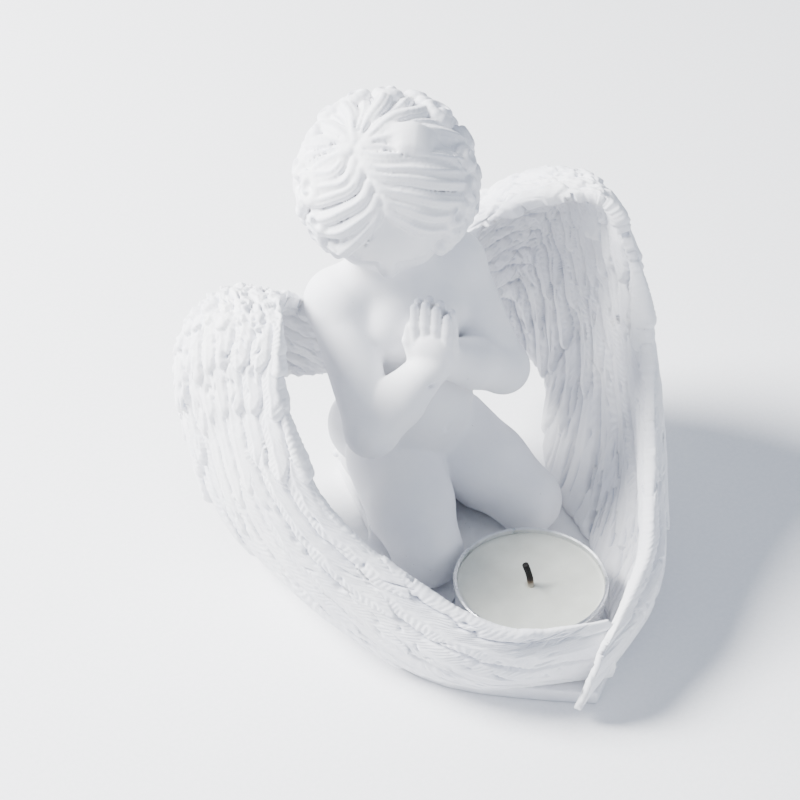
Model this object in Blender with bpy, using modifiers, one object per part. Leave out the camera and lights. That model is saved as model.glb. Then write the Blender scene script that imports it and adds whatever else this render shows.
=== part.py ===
"""Kneeling angel tealight holder in cast resin, built at rest on its plinth.

Metres, +Z up. The angel faces -Y, its left hand is on +X, and the plinth's
underside is z = 0. The two wings wrap forward round a round tealight.
"""

import math

import bmesh
import bpy
import numpy as np
from mathutils import Matrix, Vector

MM = 0.001

# Tealight: the common 38 mm size, which sets the scale of everything else.
CUP_DIAMETER = 38.0 * MM
CUP_HEIGHT = 15.0 * MM
CUP_WALL = 0.4 * MM
CUP_RIM_RADIUS = 0.45 * MM
WAX_TOP_BELOW_RIM = 1.6 * MM
WICK_DIAMETER = 1.7 * MM
WICK_ABOVE_WAX = 6.8 * MM
WICK_LEAN = 1.6 * MM
SUSTAINER_DIAMETER = 14.0 * MM
SUSTAINER_THICKNESS = 0.4 * MM
NECK_HEIGHT = 3.0 * MM
NECK_WALL = 0.5 * MM
FIT = 0.3 * MM

# Plinth, set in under the wings, with the shallow well that the tealight drops into.
PLINTH_HEIGHT = 4.0 * MM
PLINTH_INSET = 2.0 * MM
WELL_DEPTH = 1.3 * MM
WELL_PLAY = 1.0 * MM
CANDLE_Y = -45.0 * MM

# Angel. FIGURE_SCALE stretches the body, and the wings' roots with it, from the plinth up.
FIGURE_SCALE = 1.0
HEAD_RADIUS = 19.0 * MM
HEAD_YAW = math.radians(-31.0)
HEAD_BOW = math.radians(38.0)
SCULPT_STEP = 0.85 * MM
FIGURE_TRIANGLES = 9000

# Wings. The bowl's four sizes are measured from the tealight's edge or from the table.
WING_TOP = 88.0 * MM
WING_REACH = 59.0 * MM
WING_BACK = 43.0 * MM
BLADE_CHORD = 20.0 * MM
BOWL_AHEAD = 13.0 * MM
BOWL_BESIDE = 17.0 * MM
BOWL_FRONT_RIM = 24.0 * MM
BOWL_SIDE_RIM = 36.5 * MM
WING_THICKNESS = 5.2 * MM
WING_EDGE = 2.6 * MM
WING_FOOT = 12.0 * MM
FEATHER_STEP = 0.9 * MM
LEFT_WING_RISE = 3.5 * MM
LEFT_WING_OUT = 1.5 * MM
TIP_LAP = 2.8 * MM

COLOURS = {
    "resin": (0.90, 0.90, 0.91),
    "aluminium": (0.78, 0.79, 0.80),
    "wax": (0.86, 0.85, 0.80),
    "wick": (0.10, 0.08, 0.07),
    "tinplate": (0.62, 0.62, 0.60),
}


def clear_scene():
    for obj in list(bpy.data.objects):
        bpy.data.objects.remove(obj, do_unlink=True)


def new_collection(name):
    collection = bpy.data.collections.new(name)
    bpy.context.scene.collection.children.link(collection)
    return collection


def material(name, colour, roughness, metallic=0.0):
    made = bpy.data.materials.new(name)
    made.use_nodes = True
    shader = made.node_tree.nodes["Principled BSDF"]
    shader.inputs["Base Color"].default_value = (*colour, 1.0)
    shader.inputs["Roughness"].default_value = roughness
    shader.inputs["Metallic"].default_value = metallic
    return made


def add_object(name, mesh, collection, surface=None):
    obj = bpy.data.objects.new(name, mesh)
    collection.objects.link(obj)
    if surface is not None:
        mesh.materials.append(surface)
    return obj


def as_cutter(obj):
    obj.hide_render = True
    obj.display_type = "WIRE"
    return obj


def from_bmesh(name, bm):
    bmesh.ops.recalc_face_normals(bm, faces=bm.faces)
    mesh = bpy.data.meshes.new(name)
    bm.to_mesh(mesh)
    bm.free()
    return mesh


def applied(obj):
    """Swaps the object's mesh for what its modifiers make of it."""
    bpy.context.view_layer.update()
    graph = bpy.context.evaluated_depsgraph_get()
    mesh = bpy.data.meshes.new_from_object(obj.evaluated_get(graph))
    obj.modifiers.clear()
    obj.data = mesh
    return obj


def cut(obj, cutter):
    modifier = obj.modifiers.new("cut", "BOOLEAN")
    modifier.operation = "DIFFERENCE"
    modifier.solver = "EXACT"
    modifier.object = cutter


# ---- the body, as rounded masses that are then fused and smoothed ----


def scaled(points):
    """Points of the body, in mm, stretched by FIGURE_SCALE from the plinth's top."""
    ground = np.array((0.0, 0.0, PLINTH_HEIGHT / MM))
    return (np.array(points, float) - ground) * FIGURE_SCALE + ground


class Masses:
    """Collects overlapping ellipsoids and tapered limbs in one mesh. Points are in mm."""

    def __init__(self, grow):
        self.grow = grow / MM / FIGURE_SCALE
        self.points = []
        self.faces = []
        ball = bmesh.new()
        bmesh.ops.create_icosphere(ball, subdivisions=3, radius=1.0)
        self.unit = np.array([v.co for v in ball.verts])
        self.unit_faces = np.array([[v.index for v in f.verts] for f in ball.faces])
        ball.free()

    def ball(self, centre, radii, axes=None):
        if isinstance(radii, (int, float)):
            radii = (radii, radii, radii)
        size = np.array(radii) + self.grow
        turn = np.array(axes) if axes is not None else np.identity(3)
        self.faces.append(self.unit_faces + len(self.points) * len(self.unit))
        self.points.append(np.array(centre) + (self.unit * size) @ turn.T)

    def limb(self, start, end, first, last, steps=9):
        start, end = Vector(start), Vector(end)
        for i in range(steps):
            t = i / (steps - 1)
            self.ball(start.lerp(end, t), first + (last - first) * t)

    def mesh(self, name):
        made = bpy.data.meshes.new(name)
        points = scaled(np.concatenate(self.points)) * MM
        made.from_pydata(points.tolist(), [], np.concatenate(self.faces).tolist())
        return made


def head_axes():
    """Columns: the head's left, its face direction and its up."""
    face = Vector(
        (
            math.sin(HEAD_YAW) * math.cos(HEAD_BOW),
            -math.cos(HEAD_YAW) * math.cos(HEAD_BOW),
            -math.sin(HEAD_BOW),
        )
    )
    left = Vector((math.cos(HEAD_YAW), math.sin(HEAD_YAW), 0.0))
    up = left.cross(face) * -1.0
    if up.z < 0:
        up = up * -1.0
    return left, face, up


def add_head(body):
    left, face, up = head_axes()
    centre = Vector((-2.6, 16.8, 99.4))
    turn = Matrix((left, face, up)).transposed()
    size = HEAD_RADIUS / MM

    def at(l, f, u):
        return centre + left * (l * size) + face * (f * size) + up * (u * size)

    def on_hair(around, above, out=1.0):
        """A point of the hair's surface, by angles from the face direction."""
        a, b = math.radians(around), math.radians(above)
        return at(
            out * math.sin(a) * math.cos(b),
            out * math.cos(a) * math.cos(b) - 0.08,
            out * math.sin(b) + 0.10,
        )

    # Skull, jaw, cheeks and chin.
    body.ball(at(0, 0.14, -0.04), (size * 0.84, size * 0.84, size * 0.88), turn)
    body.ball(at(0, 0.42, -0.44), (size * 0.58, size * 0.44, size * 0.40), turn)
    body.ball(at(0.36, 0.50, -0.30), size * 0.33)
    body.ball(at(-0.36, 0.50, -0.30), size * 0.33)
    body.ball(at(0, 0.72, -0.62), size * 0.16)
    # Forehead, nose and mouth.
    body.ball(at(0, 0.58, 0.20), (size * 0.54, size * 0.38, size * 0.40), turn)
    body.limb(at(0, 0.90, 0.04), at(0, 0.99, -0.19), size * 0.07, size * 0.10, 5)
    body.ball(at(0, 0.84, -0.42), (size * 0.17, size * 0.11, size * 0.08), turn)
    # Hair mass over the crown and down the back.
    body.ball(at(0, -0.12, 0.12), (size * 1.06, size * 1.02, size * 1.03), turn)
    body.limb(on_hair(8, 52, 1.0), on_hair(20, 84, 1.02), size * 0.15, size * 0.20, 6)
    # Locks that sweep outward from the middle parting, each ending in a curl.
    for side in (-1, 1):
        for k in range(8):
            start = 36 + 9 * k
            end_around, end_above = 62 + 15 * k, -8 - 4 * k
            mid_around, mid_above = 0.60 * end_around, (start + end_above) / 2 + 20
            for i in range(12):
                t = i / 11
                around = 2 * t * (1 - t) * mid_around + t * t * end_around
                above = (1 - t) ** 2 * start + 2 * t * (1 - t) * mid_above + t * t * end_above
                body.ball(on_hair(side * (around + 3), above), size * (0.10 + 0.05 * t))
            body.ball(on_hair(side * (end_around + 6), end_above - 9), size * 0.21)
    for k in range(9):
        body.ball(on_hair(78 + 25.5 * k, -46, 0.92), size * 0.23)
    # Bumpy curls over the crown and the back of the head.
    for row in range(3):
        for k in range(7):
            around = 100 + 26.5 * k + 13 * (row % 2)
            body.ball(on_hair(around, 58 - 27 * row, 0.97), size * (0.13 + 0.02 * (k % 2)))


def add_torso(body):
    body.limb((-1.5, 17.5, 84), (-0.5, 16.5, 70), 8.0, 9.0)
    body.limb((-1.0, 17.0, 77), (-14, 18.5, 69.5), 7.0, 7.2)
    body.limb((-1.0, 17.0, 77), (13, 14.5, 72), 7.0, 7.0)
    body.ball((-0.5, 15.5, 63), (15.5, 11.8, 12.5))
    body.ball((0.3, 12.0, 51), (14.2, 12.2, 13.0))
    body.ball((1.0, 9.0, 38), (14.6, 13.8, 13.5))
    body.ball((2.0, 12.5, 26), (16.5, 13.5, 12.5))
    body.ball((-6.0, 21.0, 22), (11.5, 11.5, 11.0))
    body.ball((10.5, 21.0, 22), (11.5, 11.5, 11.0))


def add_arm(body, shoulder, elbow, wrist, tips, side):
    body.ball(shoulder, 8.0)
    body.limb(shoulder, elbow, 7.6, 6.4)
    body.limb(elbow, wrist, 6.6, 5.0)
    body.ball(elbow, 6.6)
    # A flat palm with four fingers side by side, and a thumb on the chest side.
    wrist, tips = Vector(wrist), Vector(tips)
    along = (tips - wrist).normalized()
    across = Vector((0.0, 1.0, 0.0))
    across = (across - along * across.dot(along)).normalized()
    out = Vector((side, 0.0, 0.0))
    palm = wrist.lerp(tips, 0.42) + out * 1.9
    body.ball(palm, (2.6, 4.4, 5.6))
    for k in range(4):
        root = wrist.lerp(tips, 0.55) + across * (-3.4 + 2.25 * k) + out * 1.8
        length = (8.3, 9.4, 8.8, 7.2)[k]
        body.limb(root, root + along * length - out * 0.5, 1.45, 1.15, 7)
    thumb = wrist.lerp(tips, 0.30) + across * 4.2 + out * 1.6
    body.limb(thumb, thumb + along * 6.5 + across * 0.6, 1.7, 1.25, 6)


def add_leg(body, hip, knee, ankle, toe):
    body.limb(hip, knee, 12.2, 8.8)
    body.ball(knee, 8.8)
    calf = [k * 0.62 + a * 0.38 for k, a in zip(knee, ankle)]
    body.limb((knee[0], knee[1] + 2.0, knee[2] - 2.4), calf, 7.2, 7.6)
    body.limb(calf, ankle, 7.6, 5.0)
    body.limb(ankle, toe, 4.9, 3.6)


def sculpted(name, collection, grow=0.0, triangles=FIGURE_TRIANGLES):
    """The figure. `grow` fattens every mass, which makes the clearance round it."""
    body = Masses(grow)
    add_head(body)
    add_torso(body)
    add_arm(body, (-16, 19, 68), (-20.5, -4.5, 45), (-4.8, -5.0, 58.5), (-3.0, -3.0, 75.0), -1)
    add_arm(body, (15, 14, 71.5), (18.5, -4.0, 48.5), (0.6, -4.6, 58.5), (-1.2, -3.0, 75.0), 1)
    add_leg(body, (-6, 9, 21), (-12.5, -17.5, 11.5), (-6.0, 25, 8), (-5.0, 33, 7))
    add_leg(body, (11, 9, 21), (20, -14.5, 11.5), (8.5, 25, 8), (7.5, 33, 7))
    obj = add_object(name, body.mesh(name), collection)
    remesh = obj.modifiers.new("fuse", "REMESH")
    remesh.mode = "VOXEL"
    remesh.voxel_size = SCULPT_STEP
    smooth = obj.modifiers.new("smooth", "SMOOTH")
    smooth.factor = 0.5
    smooth.iterations = 3
    applied(obj)
    faces = sum(len(p.vertices) - 2 for p in obj.data.polygons)
    thin = obj.modifiers.new("thin", "DECIMATE")
    thin.ratio = triangles / faces
    thin.use_collapse_triangulate = True
    applied(obj)
    obj.data.shade_smooth()
    return obj


# ---- the wings, each a cupped shell between a front edge and a rear edge ----

STATIONS = (0.0, 1.2, 3.0, 5.0, 7.0, 9.0, 11.0, 13.0)


def spline(points, at):
    """A smooth curve through a point for each of STATIONS, read at the places `at`."""
    p, knots = np.array(points, float), np.array(STATIONS)
    step = np.diff(knots)[:, None]
    slope = np.diff(p, axis=0) / step
    inner = (slope[:-1] * step[1:] + slope[1:] * step[:-1]) / (step[1:] + step[:-1])
    tangent = np.vstack([slope[:1], inner, slope[-1:]])
    i = np.clip(np.searchsorted(knots, at, side="right") - 1, 0, len(step) - 1)
    h = step[i]
    f = ((at - knots[i])[:, None]) / h
    start = (1 + 2 * f) * (1 - f) ** 2 * p[i] + f * (1 - f) ** 2 * h * tangent[i]
    return start + f**2 * (3 - 2 * f) * p[i + 1] - f**2 * (1 - f) * h * tangent[i + 1]


def wing_guides(side):
    """Front edge, fullest line of the outer face and rear edge, in mm, at STATIONS.

    They run from the shoulder blade, up and back over the crest, and then forward
    and down round the tealight to the point of the heart.
    """
    top, reach, back = WING_TOP / MM, WING_REACH / MM, WING_BACK / MM
    cup, cup_y = CUP_DIAMETER / 2 / MM, CANDLE_Y / MM
    beside, point = cup + BOWL_BESIDE / MM, cup_y - cup - BOWL_AHEAD / MM
    front_rim, side_rim = BOWL_FRONT_RIM / MM, BOWL_SIDE_RIM / MM
    foot = (PLINTH_HEIGHT + FIT) / MM
    chord = BLADE_CHORD / MM / 2
    root = scaled([(9, 24, 50 + chord), (9.5, 26, 50), (8.5, 26, 50 - chord)])
    front = [
        root[0],
        (reach - 34, back - 21, top - 16),
        (reach - 16, -3, top),
        (reach - 9, -14, top - 15),
        (reach - 11.5, -26, top - 36),
        (beside, cup_y + 1, side_rim),
        (cup + 2.5, cup_y - cup + 2, front_rim + 4),
        (1, point + 3.5, front_rim),
    ]
    full = [
        root[1],
        (reach - 29, back - 6, top - 24),
        (reach - 4, back - 16, top - 18),
        (reach, back - 34, top - 41),
        (reach - 5, -15, side_rim - 7.5),
        (beside + 7, cup_y + 6, side_rim / 2 + 1),
        (cup + 9, cup_y - cup + 3.5, foot + 10.7),
        (1, point, foot + 9.7),
    ]
    rear = [
        root[2],
        (reach - 37, back - 4, top - 52),
        (reach - 17, back - 3, top - 63),
        (reach - 8, back - 22, foot + 10.7),
        (reach - 16, 1, foot),
        (beside + 3.5, cup_y + 19, foot),
        (cup + 10, cup_y - cup + 12, foot),
        (1, point + 1, foot),
    ]
    return [np.array(c, float) for c in (front, full, rear)]


def wing_edges(side, at):
    """The guides at the places `at`. The left tip laps round outside the right one."""
    lap = TIP_LAP / MM
    near_tip = np.clip((at - 11.5) / 1.5, 0, 1)
    curves = [spline(c, at) for c in wing_guides(side)]
    if side > 0:
        high = np.interp(at, [0, 2, 4, 7, 10], [0, 1, 1, 0.3, 0])
        out = np.interp(at, [0, 2, 5, 9, 11], [0, 1, 1, 0.6, 0])
        for curve, share in zip(curves, (1.0, 1.0, 0.4)):
            curve[:, 2] += high * share * LEFT_WING_RISE / MM
            curve[:, 0] += out * LEFT_WING_OUT / MM
            curve[:, 0] -= 2.0 * lap * near_tip**2
            curve[:, 1] -= 0.30 * lap * near_tip
        curves[0][:, 2] -= 0.7 * lap * near_tip
    else:
        for curve in curves:
            curve[:, 1] += lap * near_tip
    for curve in curves:
        curve[:, 0] *= side
    return curves


def feather_height(along, down):
    """Relief of the outer face, 0 to 1: three rows of coverts, then long primaries."""
    rows = [0.0, 0.17, 0.36, 0.56]
    height = 0.0
    for k, start in enumerate(rows):
        end = rows[k + 1] if k < 3 else 1.0
        phase = along * (17 - 3 * k) + 0.5 * k
        lobe = abs(math.sin(math.pi * phase))
        tip = end + 0.07 * (lobe - 0.5)
        if start <= down + 0.001 and down < tip:
            height = 1.0 - 0.75 * (tip - down) / (end - start)
            height *= 0.55 + 0.45 * lobe
            break
    return max(height, 0.0)


def wing(name, side, collection, grow=0.0, stations=48, across=15):
    place = np.linspace(0, STATIONS[-1], stations)
    front, full, rear = wing_edges(side, place)
    s = np.linspace(0, 1, across)[None, :, None]
    middle = 2 * full - (front + rear) / 2
    outer = (1 - s) ** 2 * front[:, None] + 2 * s * (1 - s) * middle[:, None] + s**2 * rear[:, None]
    along = np.gradient(outer, axis=0)
    down = np.gradient(outer, axis=1)
    normal = np.cross(along, down) * -side
    normal /= np.linalg.norm(normal, axis=2, keepdims=True)
    if (normal[5:30, 5:12, 0] * side).mean() < 0:
        normal = -normal
    # Thin at the front edge, full in the middle, and a wide foot flat on the plinth.
    lane = s[0, :, 0]
    body = np.clip(lane / 0.22, 0, 1) ** 0.6
    thick = (WING_EDGE + (WING_THICKNESS - WING_EDGE) * body) / MM
    taper = np.interp(place, [0, 1.5, 4, 9, 11.5, 13], [1.1, 1.5, 1.4, 1.0, 0.9, 0.45])
    rear_edge = np.interp(place, [0, 4, 6.5, 8, 10, 12, 13], [0.24, 0.26, 0.45, 0.9, 0.9, 0.4, 0.22])
    share = np.clip((lane - 0.55) / 0.45, 0, 1)[None, :] ** 1.3
    level = normal * (1, 1, 0)
    level /= np.linalg.norm(level, axis=2, keepdims=True)
    lying = share * np.clip((place - 5.5) / 1.5, 0, 1)[:, None]
    inward = normal * (1 - lying)[..., None] + level * lying[..., None]
    depth = thick[None, :] * taper[:, None] * (1 - share)
    depth = depth + share * rear_edge[:, None] * WING_FOOT / MM
    relief = np.zeros((stations, across))
    for i in range(stations):
        for j in range(1, across - 1):
            relief[i, j] = feather_height(i / (stations - 1), s[0, j, 0])
    fade = np.interp(place, [0, 1, 11.5, 13], [0, 1, 1, 0.3])
    relief = relief * fade[:, None] * FEATHER_STEP / MM
    grown = grow / MM
    outside = outer + normal * (relief + grown)[..., None]
    inside = outer - inward * (depth + grown)[..., None]
    if grown:
        inside[:, 0] += (outer[:, 0] - outer[:, 1]) * 0.3
        outside[:, 0] += (outer[:, 0] - outer[:, 1]) * 0.3
        inside[:, -1] += (outer[:, -1] - outer[:, -2]) * 0.5
        outside[:, -1] += (outer[:, -1] - outer[:, -2]) * 0.5
        outside[-1] += along[-1] * 0.8
        inside[-1] += along[-1] * 0.8
        outside[0] -= along[0] * 0.8
        inside[0] -= along[0] * 0.8
    bm = bmesh.new()
    skins = []
    for skin in (outside, inside):
        skins.append([[bm.verts.new(Vector(p) * MM) for p in row] for row in skin])
    for skin in skins:
        for i in range(stations - 1):
            for j in range(across - 1):
                bm.faces.new((skin[i][j], skin[i + 1][j], skin[i + 1][j + 1], skin[i][j + 1]))
    out, inn = skins
    for i in range(stations - 1):
        bm.faces.new((out[i][0], inn[i][0], inn[i + 1][0], out[i + 1][0]))
        bm.faces.new((out[i][-1], out[i + 1][-1], inn[i + 1][-1], inn[i][-1]))
    for j in range(across - 1):
        bm.faces.new((out[0][j], out[0][j + 1], inn[0][j + 1], inn[0][j]))
        bm.faces.new((out[-1][j], inn[-1][j], inn[-1][j + 1], out[-1][j + 1]))
    obj = add_object(name, from_bmesh(name, bm), collection)
    obj.data.shade_smooth()
    obj.data.set_sharp_from_angle(angle=math.radians(60))
    return obj


# ---- plinth and tealight ----


def plinth_outline():
    """Heart-shaped and set in from the wings' feet, with a tongue back under the angel."""
    at = np.linspace(STATIONS[-1], 7.0, 13)
    foot = spline(wing_guides(-1)[2], at)[:, :2]
    middle = np.array((0.0, CANDLE_Y / MM * 0.6))
    way = foot - middle
    way /= np.linalg.norm(way, axis=1, keepdims=True)
    half = foot - way * PLINTH_INSET / MM
    half[0, 0] = 0.0
    tongue = scaled([(18, 2, 0), (15, 7, 0), (12.5, 17, 0), (10.5, 26, 0), (8.5, 34, 0), (0, 37, 0)])
    half = half.tolist() + tongue[:, :2].tolist()
    return half + [(-x, y) for x, y in half[-2:0:-1]]


def prism(name, outline, low, high, collection):
    bm = bmesh.new()
    ring = [bm.verts.new((x * MM, y * MM, low)) for x, y in outline]
    face = bm.faces.new(ring)
    made = bmesh.ops.extrude_face_region(bm, geom=[face])
    top = [v for v in made["geom"] if isinstance(v, bmesh.types.BMVert)]
    bmesh.ops.translate(bm, vec=(0, 0, high - low), verts=top)
    return add_object(name, from_bmesh(name, bm), collection)


def cylinder(name, radius, low, high, y, collection, segments=64):
    bm = bmesh.new()
    place = Matrix.Translation((0, y, (low + high) / 2))
    bmesh.ops.create_cone(
        bm,
        cap_ends=True,
        segments=segments,
        radius1=radius,
        radius2=radius,
        depth=high - low,
        matrix=place,
    )
    return add_object(name, from_bmesh(name, bm), collection)


def turned(name, profile, y, collection, steps=48):
    """A solid of revolution about the candle's axis from a closed (radius, z) profile."""
    mesh = bpy.data.meshes.new(name)
    points = [(r, 0.0, z) for r, z in profile]
    edges = [(i, (i + 1) % len(points)) for i in range(len(points))]
    if profile[0][0] == 0.0:
        edges = edges[:-1]
    mesh.from_pydata(points, edges, [])
    obj = add_object(name, mesh, collection)
    screw = obj.modifiers.new("turn", "SCREW")
    screw.axis = "Z"
    screw.angle = 2 * math.pi
    screw.steps = steps
    screw.render_steps = steps
    screw.use_merge_vertices = True
    screw.merge_threshold = 0.00001
    applied(obj)
    bm = bmesh.new()
    bm.from_mesh(obj.data)
    bmesh.ops.remove_doubles(bm, verts=bm.verts, dist=0.00001)
    obj.data = from_bmesh(name, bm)
    obj.data.shade_smooth()
    obj.data.set_sharp_from_angle(angle=math.radians(40))
    obj.location = (0, y, 0)
    return obj


def add_plinth(collection, cutters, surface):
    obj = prism("plinth", plinth_outline(), 0.0, PLINTH_HEIGHT, collection)
    obj.data.materials.append(surface)
    soft = obj.modifiers.new("soften", "BEVEL")
    soft.width = 0.6 * MM
    soft.segments = 2
    soft.limit_method = "ANGLE"
    soft.angle_limit = math.radians(50)
    radius = CUP_DIAMETER / 2 + WELL_PLAY
    low = PLINTH_HEIGHT - WELL_DEPTH
    well = cylinder("well_cutter", radius, low, PLINTH_HEIGHT + 5 * MM, CANDLE_Y, cutters)
    cut(obj, as_cutter(well))
    return obj


def add_tealight(collection, surfaces):
    radius = CUP_DIAMETER / 2
    floor = PLINTH_HEIGHT - WELL_DEPTH + FIT
    top = floor + CUP_HEIGHT
    draft = 0.35 * MM
    rim = CUP_RIM_RADIUS
    shell = radius - rim
    cup_profile = [
        (0.0, floor),
        (shell - draft, floor),
        (shell, top - 2 * rim),
        (radius, top - 1.6 * rim),
        (radius, top - 0.4 * rim),
        (shell + 0.2 * rim, top),
        (shell - CUP_WALL, top - 0.5 * rim),
        (shell - draft - CUP_WALL, floor + CUP_WALL),
        (0.0, floor + CUP_WALL),
    ]
    cup = turned("candle_cup", cup_profile, CANDLE_Y, collection, 48)
    cup.data.materials.append(surfaces["aluminium"])

    base = floor + CUP_WALL + FIT
    wax_top = top - WAX_TOP_BELOW_RIM
    wax_foot = shell - draft - CUP_WALL - FIT
    bore = WICK_DIAMETER / 2 + FIT
    neck = bore + NECK_WALL
    disc = SUSTAINER_DIAMETER / 2
    wax_profile = [
        (disc + FIT, base),
        (wax_foot, base),
        (wax_foot + draft * 0.7, wax_top),
        (radius * 0.62, wax_top - 0.25 * MM),
        (bore + 1.2 * MM, wax_top - 0.55 * MM),
        (bore, wax_top - 0.4 * MM),
        (bore, base + SUSTAINER_THICKNESS + NECK_HEIGHT + FIT),
        (neck + FIT, base + SUSTAINER_THICKNESS + NECK_HEIGHT + FIT),
        (neck + FIT, base + SUSTAINER_THICKNESS + FIT),
        (disc + FIT, base + SUSTAINER_THICKNESS + FIT),
    ]
    wax = turned("candle_wax", wax_profile, CANDLE_Y, collection, 40)
    wax.data.materials.append(surfaces["wax"])

    sustainer_profile = [
        (bore, base),
        (disc, base),
        (disc, base + SUSTAINER_THICKNESS),
        (neck, base + SUSTAINER_THICKNESS),
        (neck, base + SUSTAINER_THICKNESS + NECK_HEIGHT),
        (bore, base + SUSTAINER_THICKNESS + NECK_HEIGHT),
    ]
    sustainer = turned("wick_sustainer", sustainer_profile, CANDLE_Y, collection, 24)
    sustainer.data.materials.append(surfaces["tinplate"])

    guide = bpy.data.curves.new("wick", "CURVE")
    guide.dimensions = "3D"
    guide.bevel_depth = WICK_DIAMETER / 2
    guide.bevel_resolution = 2
    guide.use_fill_caps = True
    guide.resolution_u = 4
    line = guide.splines.new("POLY")
    tip = wax_top + WICK_ABOVE_WAX
    path = [
        (0.0, 0.0, base),
        (0.0, 0.0, wax_top),
        (-0.25 * WICK_LEAN, 0.0, wax_top + 0.35 * WICK_ABOVE_WAX),
        (-0.62 * WICK_LEAN, 0.1 * WICK_LEAN, wax_top + 0.7 * WICK_ABOVE_WAX),
        (-WICK_LEAN, 0.3 * WICK_LEAN, tip),
    ]
    line.points.add(len(path) - 1)
    for point, where in zip(line.points, path):
        point.co = (*where, 1.0)
    wick = bpy.data.objects.new("wick", guide)
    wick.location = (0, CANDLE_Y, 0)
    collection.objects.link(wick)
    guide.materials.append(surfaces["wick"])


def main():
    clear_scene()
    parts = new_collection("kneeling_angel_tealight_holder")
    cutters = new_collection("cutters")
    cutters.hide_render = True
    surfaces = {
        "resin": material("cast_resin", COLOURS["resin"], 0.7),
        "aluminium": material("drawn_aluminium", COLOURS["aluminium"], 0.3, 1.0),
        "wax": material("paraffin_wax", COLOURS["wax"], 0.45),
        "wick": material("charred_cotton", COLOURS["wick"], 0.9),
        "tinplate": material("tinplate", COLOURS["tinplate"], 0.35, 1.0),
    }
    add_plinth(parts, cutters, surfaces["resin"])
    add_tealight(parts, surfaces)

    # Everything that stands on the plinth is cut flat, one bond line above it.
    stand = PLINTH_HEIGHT + FIT
    corners = [(-90, -110), (90, -110), (90, 90), (-90, 90)]
    ground = as_cutter(prism("stand_cutter", corners, -30 * MM, stand, cutters))
    # A clear way straight up for the tealight, whatever the sizes of what stands round it.
    clear = CUP_DIAMETER / 2 + WELL_PLAY
    room = cylinder("tealight_room", clear, 0.0, WING_TOP + 80 * MM, CANDLE_Y, cutters)
    as_cutter(room)

    figure = sculpted("kneeling_figure", parts)
    figure.data.materials.append(material("figure_resin", COLOURS["resin"], 0.7))
    cut(figure, ground)
    cut(figure, room)
    applied(figure)
    around = as_cutter(sculpted("figure_clearance", cutters, FIT * 2, 3000))

    left = wing("left_wing", 1, parts)
    left.data.materials.append(material("left_wing_resin", COLOURS["resin"], 0.7))
    cut(left, ground)
    cut(left, room)
    cut(left, around)
    applied(left)
    beside = as_cutter(wing("left_wing_clearance", 1, cutters, FIT * 2))

    right = wing("right_wing", -1, parts)
    right.data.materials.append(material("right_wing_resin", COLOURS["resin"], 0.7))
    cut(right, ground)
    cut(right, room)
    cut(right, around)
    cut(right, beside)
    applied(right)


main()
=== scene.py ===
"""Looks of the kneeling angel tealight holder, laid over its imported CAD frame."""

import math

import bmesh
import bpy
import numpy as np
import openvdb
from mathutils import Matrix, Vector


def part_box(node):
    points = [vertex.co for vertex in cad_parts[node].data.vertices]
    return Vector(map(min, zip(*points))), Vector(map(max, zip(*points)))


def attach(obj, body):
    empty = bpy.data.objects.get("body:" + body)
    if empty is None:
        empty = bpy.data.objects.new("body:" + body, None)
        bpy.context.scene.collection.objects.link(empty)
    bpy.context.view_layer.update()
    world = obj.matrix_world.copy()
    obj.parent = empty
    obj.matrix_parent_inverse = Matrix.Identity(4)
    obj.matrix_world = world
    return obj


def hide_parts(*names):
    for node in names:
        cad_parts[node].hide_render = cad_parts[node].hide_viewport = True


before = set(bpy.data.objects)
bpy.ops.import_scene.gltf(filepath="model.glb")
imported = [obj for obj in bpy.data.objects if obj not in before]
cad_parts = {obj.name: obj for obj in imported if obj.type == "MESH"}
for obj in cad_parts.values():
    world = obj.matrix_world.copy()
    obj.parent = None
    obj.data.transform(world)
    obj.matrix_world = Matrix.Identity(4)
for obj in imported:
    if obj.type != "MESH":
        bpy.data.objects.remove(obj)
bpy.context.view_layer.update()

# ---------------------------------------------------------------------------
# The resin. The holder is cast in polyresin filled with stone powder and left
# unpainted: a chalky matte white with faint mould marks and pinholes.
# ---------------------------------------------------------------------------

MM = 0.001


def linear(hex_colour):
    """An sRGB hex colour as a linear RGBA tuple."""
    values = [int(hex_colour[i : i + 2], 16) / 255 for i in (1, 3, 5)]
    spread = [v / 12.92 if v <= 0.04045 else ((v + 0.055) / 1.055) ** 2.4 for v in values]
    return (*spread, 1.0)


def node(tree, kind, settings=None, links=None):
    """Adds a shader node, sets its properties, sockets or colour stops, and links its inputs."""
    made = tree.nodes.new(kind)
    for key, value in (settings or {}).items():
        if key == "stops":
            bar = made.color_ramp.elements
            while len(bar) < len(value):
                bar.new(0.5)
            for element, (place, colour) in zip(bar, value):
                element.position = place
                element.color = colour
        elif isinstance(key, int) or key in made.inputs:
            made.inputs[key].default_value = value
        else:
            setattr(made, key, value)
    for key, source in (links or {}).items():
        tree.links.new(source, made.inputs[key])
    return made


def new_material(name):
    made = bpy.data.materials.new(name)
    made.use_nodes = True
    return made, made.node_tree, made.node_tree.nodes["Principled BSDF"]


def repeat(mm):
    """The texture scale that makes one repeat of a pattern this many mm across."""
    return 1 / (mm * MM)


def grey(value):
    return (value, value, value, 1.0)


RAMP = "ShaderNodeValToRGB"
NOISE = "ShaderNodeTexNoise"
CLEAR = grey(1.0)


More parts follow.
